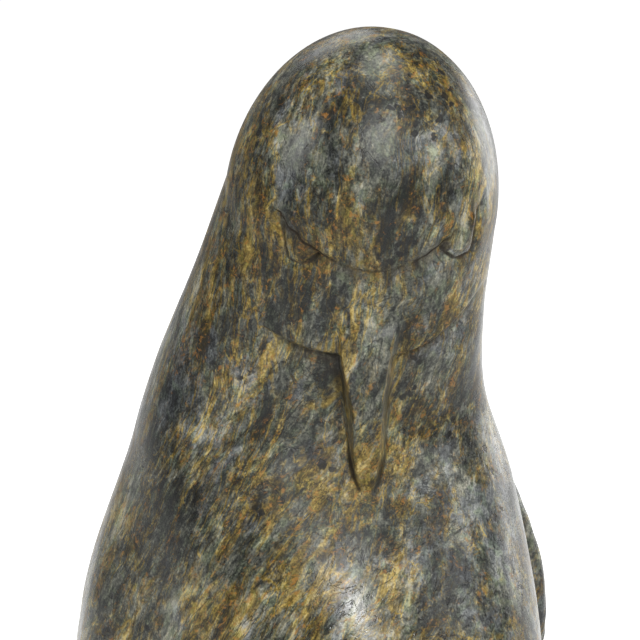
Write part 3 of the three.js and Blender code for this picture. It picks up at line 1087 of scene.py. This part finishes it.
@dataclass(frozen=True)
class Serpentine:
    """Polished dark green-grey stone with drawn-out ochre veins, milky patches and dark specks."""

    grey: tuple[tuple[float, Colour], ...] = (
        (0.00, (0.008, 0.009, 0.008)),
        (0.25, (0.028, 0.030, 0.025)),
        (0.50, (0.074, 0.077, 0.062)),
        (0.75, (0.145, 0.146, 0.115)),
        (1.00, (0.290, 0.280, 0.220)),
    )
    gold: tuple[tuple[float, Colour], ...] = (
        (0.00, (0.020, 0.013, 0.002)),
        (0.25, (0.060, 0.040, 0.006)),
        (0.50, (0.135, 0.092, 0.015)),
        (0.75, (0.240, 0.168, 0.034)),
        (1.00, (0.430, 0.325, 0.110)),
    )
    milk_and_light: tuple[tuple[float, Colour], ...] = (
        (0.00, (0.015, 0.017, 0.019)),
        (0.50, (0.098, 0.106, 0.110)),
        (1.00, (0.280, 0.292, 0.285)),
    )
    moss: Colour = (0.86, 0.98, 0.76)
    rust: Colour = (0.280, 0.125, 0.022)
    speck: Colour = (0.006, 0.006, 0.006)
    # The next three colours are the painted shade under and beside the carved lines, the painted shade drawn
    # in the lines themselves, and the beak's pale edges, part wear and part painted highlight
    painted_shade: Colour = (0.030, 0.018, 0.006)
    groove: Colour = (0.010, 0.006, 0.002)
    worn_and_highlight: Colour = (0.260, 0.200, 0.100)
    # How the grain lies: its lean below a height, and how it winds
    lean_left: float = 0.42
    lean_forward: float = 0.3
    lean_ends: float = 0.225
    lean_softness: float = 0.06
    sway: tuple[float, float, float] = (13, 1, 0.016)
    ripple: tuple[float, float, float] = (75, 2, 0.0045)
    looseness: tuple[float, float, float] = (30, 2, 0.012)
    speck_wobble: tuple[float, float, float] = (400, 2, 0.004)

    # Grains from broad to fine, spread so that the ramps are used from end to end
    broad: Pattern = Pattern(60, 3, 0.55, 0.2, (0, 0, 20), 2.5, share=1.45)
    knot: Pattern = Pattern(150, 2, 0.6, 0.9, (0, 0, 60), 2.2, share=1.3)
    mottle: Pattern = Pattern(420, 3, 0.74, 0.6, (0, 0, 35), 1.5, share=1.36)
    fibre: Pattern = Pattern(620, 2, 0.65, 0.6, (0, 0, 50), 2.4, share=0.7)
    grit: Pattern = Pattern(1500, 1, 0.6, share=0.7)
    grain_drop: float = 2.295
    dark_drop: float = 0.12

    # The hues of the ground, and how far the tints pull them
    cloud: Pattern = Pattern(75, 4, 0.6, 0.4, (0, 0, 0), 2.6, share=0.45)
    fleck: Pattern = Pattern(230, 3, 0.66, 0.6, (0, 0, 10), 3.4, share=0.55)
    gold_band: Band = Band(0.485, 0.605, 0.85)
    gold_pull: float = 0.04
    gold_shade: float = 0.03
    milk_cloud: Pattern = Pattern(110, 5, 0.66, 0.4, (0, 20, 0), 2.0)
    milk_and_light_band: Band = Band(0.54, 0.65, 0.75)
    milk_and_light_pull: float = 0.09
    milk_shade: float = 0.05
    moss_cloud: Pattern = Pattern(210, 4, 0.6, 0.5)
    moss_band: Band = Band(0.47, 0.62, 0.8)

    # Veins, hairs, dark streaks, cracks and splits
    threads: tuple[Thread, ...] = (
        Thread(70, 9, 42, 0.012, 0.9),
        Thread(50, 9, 90, 0.016, 0.85),
        Thread(30, 6, 180, 0.022, 0.5),
    )
    thread_band: Band = Band(0.38, 0.52)
    thread_pull: float = 0.05
    thread_lift: float = 0.2
    streak: Pattern = Pattern(170, 4, 0.62, 0.6, (0, 0, 15), 7)
    streak_band: Band = Band(0.54, 0.66, 0.6)
    streak_drop: float = 0.25
    crack: Thread = Thread(-20, 3, 95, 0.014, 0.7)
    split: Thread = Thread(80, 2.5, 260, 0.022, 0.6)
    split_band: Band = Band(0.65, 0.35)

    # Rust spots, and clusters of specks
    rust_spots: Pattern = Pattern(600, 3, 0.62, 0.8)
    rust_band: Band = Band(0.555, 0.66, 0.55)
    rust_in_gold: Band = Band(0.46, 0.56)
    cluster: Pattern = Pattern(45, 1, 0.5)
    cluster_band: Band = Band(0.58, 0.66)
    cluster_pull: float = 0.2
    speck_scale: float = 230
    speck_band: Band = Band(0.24, 0.34, 0.9)

    # The carved lines, drawn dark as painted shade, the painted shade beside them, and the beak's
    # pale edges, part wear and part painted highlight
    cuts: tuple[Cut, ...] = (
        Cut("brow", 0.0008, aside=0.0004),
        Cut("jaw", 0.0008, strength=0.4),
        Cut("left_eye", 0.0008, strength=0.75),
        Cut("right_eye", 0.0010),
        Cut("beak", 0.0007, aside=0.0007),
    )
    cut_cover: tuple[float, float] = (0.6, 0.6)
    painted_shade_cover: tuple[float, float] = (0.15, 0.5)
    wear_and_highlight_cover: float = 0.25

    # The polish, and the relief too fine for the mesh
    polish: float = 0.26
    gold_dullness: float = 0.06
    cut_dullness: float = 0.3
    painted_shade_dullness: float = 0.35
    fibre_dullness: float = 0.3
    dull_dullness: float = 0.32
    grain_relief: float = 0.4
    speck_depth: float = 1.2
    crack_depth: float = 0.4
    cut_depth: float = 3
    relief_strength: float = 0.25
    relief_height: float = 0.0003
    refraction: float = 1.37

    def flowing(self, graph: Graph, place: Any) -> bpy.types.NodeSocket:
        """Coordinates in which the grain runs upright: it leans on the body and not on the head."""
        axes = graph.node("ShaderNodeSeparateXYZ", {}, {0: place})
        height = Number(graph, axes.outputs["Z"])
        inputs = {0: height, 1: self.lean_ends, 2: self.lean_softness}
        lifted = graph.number("ShaderNodeMath", {"operation": "SMOOTH_MIN"}, inputs)
        across = Number(graph, axes.outputs["X"]) - lifted * self.lean_left
        deep = Number(graph, axes.outputs["Y"]) + lifted * self.lean_forward
        joined = {"X": across, "Y": deep, "Z": height}
        straight = graph.node("ShaderNodeCombineXYZ", {}, joined).outputs[0]
        return graph.shift(graph.shift(straight, *self.sway), *self.ripple)

    def fields(self, graph: Graph) -> Fields:
        """The fields of one tree, in Object coordinates."""
        place = graph.node("ShaderNodeTexCoord", {}, {}).outputs["Object"]
        flow = self.flowing(graph, place)
        tints = {tint: graph.attribute(tint.value) for tint in Tint}
        broad, knot, mottle = [p.field(graph, flow) for p in (self.broad, self.knot, self.mottle)]
        fibre, grit = self.fibre.field(graph, flow), self.grit.field(graph, place)
        grain = broad * self.broad.share + knot * self.knot.share + mottle * self.mottle.share
        grain = grain + fibre * self.fibre.share + grit * self.grit.share - self.grain_drop
        grain = grain - tints[Tint.DARK] * self.dark_drop
        cloud, fleck = self.cloud.field(graph, flow), self.fleck.field(graph, flow)
        gold = cloud * self.cloud.share + fleck * self.fleck.share
        gold = gold + tints[Tint.GOLD] * self.gold_pull - tints[Tint.DARK] * self.gold_shade
        return Fields(place, flow, tints, fibre, grit, grain, cloud, gold)

    def ground(self, graph: Graph, stone: Fields) -> bpy.types.NodeSocket:
        """The hue, from grey-green through olive to gold whatever the grain, with milk and moss."""
        grey, gold, pale = [graph.ramp(stone.grain, stops) for stops in (self.grey, self.gold, self.milk_and_light)]
        colour = graph.blend(self.gold_band.cover(graph, stone.gold), grey, gold)
        loose = graph.shift(stone.place, *self.looseness)
        milk_and_light = self.milk_cloud.field(graph, loose)
        milk_and_light = milk_and_light + stone.tints[Tint.MILK_AND_LIGHT] * self.milk_and_light_pull - stone.tints[Tint.DARK] * self.milk_shade
        colour = graph.blend(self.milk_and_light_band.cover(graph, milk_and_light), colour, pale)
        moss = self.moss_cloud.field(graph, loose)
        return graph.blend(self.moss_band.cover(graph, moss), colour, self.moss, "MULTIPLY")

    def veined(self, graph: Graph, stone: Fields, colour: Any, crack: Number) -> bpy.types.NodeSocket:
        """The colour with its gold threads, dark streaks, cracks and splits."""
        golden = stone.cloud + stone.tints[Tint.GOLD] * self.thread_pull
        for thread in self.threads:
            here = thread.lines(graph, stone.flow) * self.thread_band.part(graph, golden)
            bright = graph.ramp(stone.grain + self.thread_lift, self.gold)
            colour = graph.blend(here * thread.strength, colour, bright)
        streak = self.streak_band.cover(graph, self.streak.field(graph, stone.flow))
        colour = graph.blend(streak, colour, graph.ramp(stone.grain - self.streak_drop, self.grey))
        colour = graph.blend(crack * self.crack.strength, colour, self.speck)
        split = self.split.lines(graph, stone.flow) * self.split_band.part(graph, stone.grain)
        return graph.blend(split * self.split.strength, colour, self.speck)

    def specks(self, graph: Graph, stone: Fields) -> Number:
        """1 on the dark specks, which stand in clusters, and 0 beside them."""
        cluster = self.cluster.field(graph, stone.place) + stone.tints[Tint.SPECKLED] * self.cluster_pull
        inputs = {"Vector": graph.shift(stone.place, *self.speck_wobble), "Scale": self.speck_scale}
        cell = graph.number("ShaderNodeTexVoronoi", {}, inputs)
        return (1 - self.speck_band.part(graph, cell)) * self.cluster_band.part(graph, cluster)

    def spotted(self, graph: Graph, stone: Fields, colour: Any, speck: Number) -> bpy.types.NodeSocket:
        """The colour with its rust spots and specks."""
        rusty = self.rust_band.part(graph, self.rust_spots.field(graph, stone.flow))
        rusty = rusty * self.rust_in_gold.part(graph, stone.gold)
        colour = graph.blend(rusty * self.rust_band.strength, colour, self.rust)
        return graph.blend(speck * self.speck_band.strength, colour, self.speck)

    def material(self) -> bpy.types.Material:
        """The material, in Object coordinates and by the numbers that the mesh holds."""
        made = bpy.data.materials.new("serpentine")
        made.use_nodes = True
        graph = Graph(made.node_tree)
        stone = self.fields(graph)
        crack = self.crack.lines(graph, stone.flow)
        speck = self.specks(graph, stone)
        colour = self.veined(graph, stone, self.ground(graph, stone), crack)
        colour = self.spotted(graph, stone, colour, speck)

        # Painted shade under and beside the carved lines, the beak's pale edges, part wear and part
        # painted highlight, and the lines themselves, drawn dark as painted shade
        painted_shade, wear_and_highlight = graph.attribute("painted_shade"), graph.attribute("wear_and_highlight")
        least, by_fibre = self.painted_shade_cover
        colour = graph.blend(painted_shade * (least + stone.fibre * by_fibre), colour, self.painted_shade)
        colour = graph.blend(wear_and_highlight * stone.fibre * self.wear_and_highlight_cover, colour, self.worn_and_highlight)
        # The carved lines, drawn dark as painted shade
        cut = self.cuts[0].line(graph)
        for further in self.cuts[1:]:
            cut = graph.math("MAXIMUM", cut, further.line(graph))
        least, by_fibre = self.cut_cover
        colour = graph.blend(cut * (least + stone.fibre * by_fibre), colour, self.groove)

        rough = self.polish + self.gold_band.part(graph, stone.gold) * self.gold_dullness
        rough = rough + cut * self.cut_dullness + painted_shade * self.painted_shade_dullness
        rough = rough + (stone.fibre - 0.5) * self.fibre_dullness
        rough = rough + stone.tints[Tint.DULL] * self.dull_dullness
        height = stone.fibre * self.grain_relief + stone.grit * self.grain_relief
        height = height - speck * self.speck_depth - crack * self.crack_depth - cut * self.cut_depth
        inputs = {"Strength": self.relief_strength, "Distance": self.relief_height, "Height": height}
        bump = graph.node("ShaderNodeBump", {}, inputs)
        inputs = {"Base Color": colour, "Roughness": rough, "IOR": self.refraction}
        inputs["Normal"] = bump.outputs[0]
        shader = graph.node("ShaderNodeBsdfPrincipled", {}, inputs)
        graph.node("ShaderNodeOutputMaterial", {}, {"Surface": shader.outputs[0]})
        return made


# The hand finish: what the carver's rasp and the polish leave all over the surface

@dataclass(frozen=True)
class HandFinish:
    """Low swells all over, and shallow pits in the stone."""

    swell_depth: float = 0.0003
    swell_size: float = 0.026
    pit_depth: float = 0.0005
    pit_spacing: float = 0.021
    pit_width: float = 0.0014
    clear_of_floor: float = 0.004
    seed: float = 7.0

    def tree(self) -> bpy.types.NodeTree:
        """The Geometry Nodes tree, with its sizes as named inputs."""
        tree = bpy.data.node_groups.new("hand_finish", "GeometryNodeTree")
        graph = Graph(tree)
        sockets = {"Geometry": "NodeSocketGeometry", "Stone": "NodeSocketMaterial"}
        sockets |= dict.fromkeys(self.sizes(), "NodeSocketFloat")
        for name, kind in sockets.items():
            tree.interface.new_socket(name=name, in_out="INPUT", socket_type=kind)
        tree.interface.new_socket(name="Geometry", in_out="OUTPUT", socket_type="NodeSocketGeometry")
        given = graph.node("NodeGroupInput", {}, {}).outputs
        size = {name: Number(graph, given[name]) for name in self.sizes()}
        place = graph.node("GeometryNodeInputPosition", {}, {}).outputs[0]
        normal = graph.node("GeometryNodeInputNormal", {}, {}).outputs[0]
        height = Number(graph, graph.node("ShaderNodeSeparateXYZ", {}, {0: place}).outputs["Z"])

        inputs = {"Vector": place, "W": size["Seed"], "Scale": graph.math("DIVIDE", 1.0, size["Swell Size"])}
        swell = graph.number("ShaderNodeTexNoise", {"noise_dimensions": "4D"}, {**inputs, "Detail": 1.0})
        inputs = {"Vector": place, "W": size["Seed"], "Scale": graph.math("DIVIDE", 1.0, size["Pit Spacing"])}
        cell = graph.number("ShaderNodeTexVoronoi", {"voronoi_dimensions": "4D"}, inputs)
        across = cell * size["Pit Spacing"]
        pit = 1 - graph.math("MINIMUM", graph.math("DIVIDE", across, size["Pit Width"]), 1.0)
        sunk = swell * size["Swell Depth"] + pit * pit * size["Pit Depth"]
        edges = {"Value": height, "From Min": 0.0, "From Max": size["Clear of Floor"]}
        lifted = graph.number("ShaderNodeMapRange", {"interpolation_type": "SMOOTHSTEP"}, edges)
        offset = graph.scaled(normal, 0.0 - sunk * lifted)
        moved = graph.node("GeometryNodeSetPosition", {}, {"Geometry": given["Geometry"], "Offset": offset})
        whole = graph.node("GeometryNodeRealizeInstances", {}, {"Geometry": moved.outputs[0]})
        dressed = graph.node(
            "GeometryNodeSetMaterial", {}, {"Geometry": whole.outputs[0], "Material": given["Stone"]})
        graph.node("NodeGroupOutput", {}, {"Geometry": dressed.outputs[0]})
        return tree

    def sizes(self) -> dict[str, float]:
        """The tree's inputs by name."""
        return {
            "Swell Depth": self.swell_depth,
            "Swell Size": self.swell_size,
            "Pit Depth": self.pit_depth,
            "Pit Spacing": self.pit_spacing,
            "Pit Width": self.pit_width,
            "Clear of Floor": self.clear_of_floor,
            "Seed": self.seed,
        }

    def apply(self, piece: bpy.types.Object, stone: bpy.types.Material) -> None:
        """Finishes a piece and gives it its material, as a plain mesh with no modifier left."""
        modifier = piece.modifiers.new("hand_finish", "NODES")
        modifier.node_group = self.tree()
        values = {"Stone": stone, **self.sizes()}
        for socket in modifier.node_group.interface.items_tree:
            if socket.in_out == "INPUT" and socket.name in values:
                modifier[socket.identifier] = values[socket.name]
        graph = bpy.context.evaluated_depsgraph_get()
        finished = bpy.data.meshes.new_from_object(
            piece.evaluated_get(graph), preserve_all_data_layers=True, depsgraph=graph)
        piece.modifiers.clear()
        piece.data = finished


# The studio

@dataclass(frozen=True)
class SoftBox:
    """A soft rectangular light that looks at a point of the bird."""

    name: str
    azimuth: float
    elevation: float
    distance: float
    width: float
    height: float
    power: float
    target: tuple[float, float, float] = (0, -0.03, 0.22)

    def build(self) -> None:
        """Puts the light in the scene."""
        light = bpy.data.lights.new(self.name, "AREA")
        light.shape = "RECTANGLE"
        light.size, light.size_y = self.width, self.height
        light.energy = self.power
        back = towards(self.azimuth, self.elevation)
        stand = bpy.data.objects.new(self.name, light)
        stand.location = Vector(self.target) + back * self.distance
        stand.rotation_mode = "QUATERNION"
        stand.rotation_quaternion = back.to_track_quat("Z", "Y")
        stand.visible_camera = False
        bpy.context.scene.collection.objects.link(stand)


def towards(azimuth: float, elevation: float) -> Vector:
    """The direction from the bird towards a stand at an azimuth and elevation in degrees."""
    turn, rise = math.radians(azimuth), math.radians(elevation)
    level = math.cos(rise)
    return Vector((math.sin(turn) * level, -math.cos(turn) * level, math.sin(rise)))


@dataclass
class Studio:
    """The floor, the lights and the photograph's camera."""

    azimuth: float = -20
    elevation: float = 10
    distance: float = 0.94424
    aim: tuple[float, float, float] = (0.00398, -0.03976, 0.26449)
    centre: tuple[float, float, float] = (-0.0123, -0.0401, 0.2313)
    pixel: float = 2.98182e-4
    picture: int = 640
    sensor: float = 36
    sight: float = 100
    world: float = 0.23
    floor_radius: float = 9.0
    floor_corners: int = 96
    floor_roughness: float = 0.9
    floor_colour: Colour = (0.8, 0.8, 0.8)
    floor_glow: float = 0.81
    pool_starts: tuple[float, float] = (0.2, 0.4)
    pool_ends: tuple[float, float] = (0.12, 0.45)
    pool_widens: float = 0.12
    pool_fades: tuple[float, float] = (3.4, 6.5)
    boxes: tuple[SoftBox, ...] = (
        SoftBox("front", -7, 27, 1.5, 0.22, 0.16, 16.5),
        SoftBox("right_front", 50, 18, 1.5, 1.1, 0.5, 5.2),
        SoftBox("left", -84, 24, 1.3, 0.5, 0.6, 5.4),
        SoftBox("right", 120, 3, 1.3, 0.9, 0.46, 4.6),
        SoftBox("top", 15, 78, 1.3, 0.9, 0.9, 9.5),
        SoftBox("back", 178, 40, 1.6, 0.8, 0.8, 4),
    )

    def camera(self) -> None:
        """The camera, where the photograph's stood."""
        data = bpy.data.cameras.new("camera")
        data.sensor_width = self.sensor
        data.lens = self.sensor * self.distance / (self.picture * self.pixel)
        data.clip_end = self.sight
        stand = bpy.data.objects.new("camera", data)
        stand.location = Vector(self.aim) + towards(self.azimuth, self.elevation) * self.distance
        stand.rotation_mode = "QUATERNION"
        stand.rotation_quaternion = (stand.location - Vector(self.centre)).to_track_quat("Z", "Y")
        bpy.context.scene.collection.objects.link(stand)
        bpy.context.scene.camera = stand

    def floor(self) -> None:
        """A plain pale floor, so wide that it fills the picture behind the bird."""
        angles = [FULL_TURN * k / self.floor_corners for k in range(self.floor_corners)]
        rim = [(self.floor_radius * math.cos(a), self.floor_radius * math.sin(a), 0) for a in angles]
        mesh = bpy.data.meshes.new("floor")
        mesh.from_pydata(rim, [], [tuple(range(self.floor_corners))])
        made = bpy.data.materials.new("pale_floor")
        made.use_nodes = True
        graph = Graph(made.node_tree)
        white = (*self.floor_colour, 1)
        place = graph.node("ShaderNodeTexCoord", {}, {}).outputs["Object"]
        turned = graph.stretched(place, (0, 0, self.azimuth), (1, 1, 1))
        axes = graph.node("ShaderNodeSeparateXYZ", {}, {0: turned}).outputs
        behind = Number(graph, axes["Y"])
        aside = graph.math("ABSOLUTE", Number(graph, axes["X"])) - behind * self.pool_widens
        lit = graph.between(behind, *self.pool_starts) * (1 - graph.between(aside, *self.pool_ends))
        lit = lit * (1 - graph.between(behind, *self.pool_fades))
        glow = graph.ramp(lit, ((0, (0, 0, 0)), (1, (1, 1, 1))))
        shader = graph.node("ShaderNodeBsdfPrincipled", {}, {
            "Base Color": white, "Roughness": self.floor_roughness, "Emission Color": glow,
            "Emission Strength": self.floor_glow, "Specular IOR Level": 0.0})
        graph.node("ShaderNodeOutputMaterial", {}, {"Surface": shader.outputs[0]})
        mesh.materials.append(made)
        floor = bpy.data.objects.new("floor", mesh)
        bpy.context.scene.collection.objects.link(floor)

    def light(self) -> None:
        """Even white surroundings and the soft boxes."""
        world = bpy.data.worlds.new("studio")
        bpy.context.scene.world = world
        world.use_nodes = True
        graph = Graph(world.node_tree)
        sky = graph.node("ShaderNodeBackground", {}, {"Color": (1, 1, 1, 1), "Strength": self.world})
        graph.node("ShaderNodeOutputWorld", {}, {"Surface": sky.outputs[0]})
        for box in self.boxes:
            box.build()

    def build(self) -> None:
        """The whole studio, shown in plain display colours."""
        self.camera()
        self.floor()
        self.light()
        bpy.context.scene.view_settings.view_transform = "Standard"


def triangles(piece: bpy.types.Object) -> int:
    """How many triangles a piece has."""
    piece.data.calc_loop_triangles()
    return len(piece.data.loop_triangles)


def main() -> None:
    """Builds the studio and the bird."""
    logging.basicConfig(level=logging.INFO, format="%(name)s: %(message)s")
    Studio().build()
    log.info("studio built")
    bird = Bird().build()
    HandFinish().apply(bird, Serpentine().material())
    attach(bird, "root")
    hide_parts(NODE)
    log.info("%s built with %d triangles", bird.name, triangles(bird))


if __name__ == "__main__":
    main()
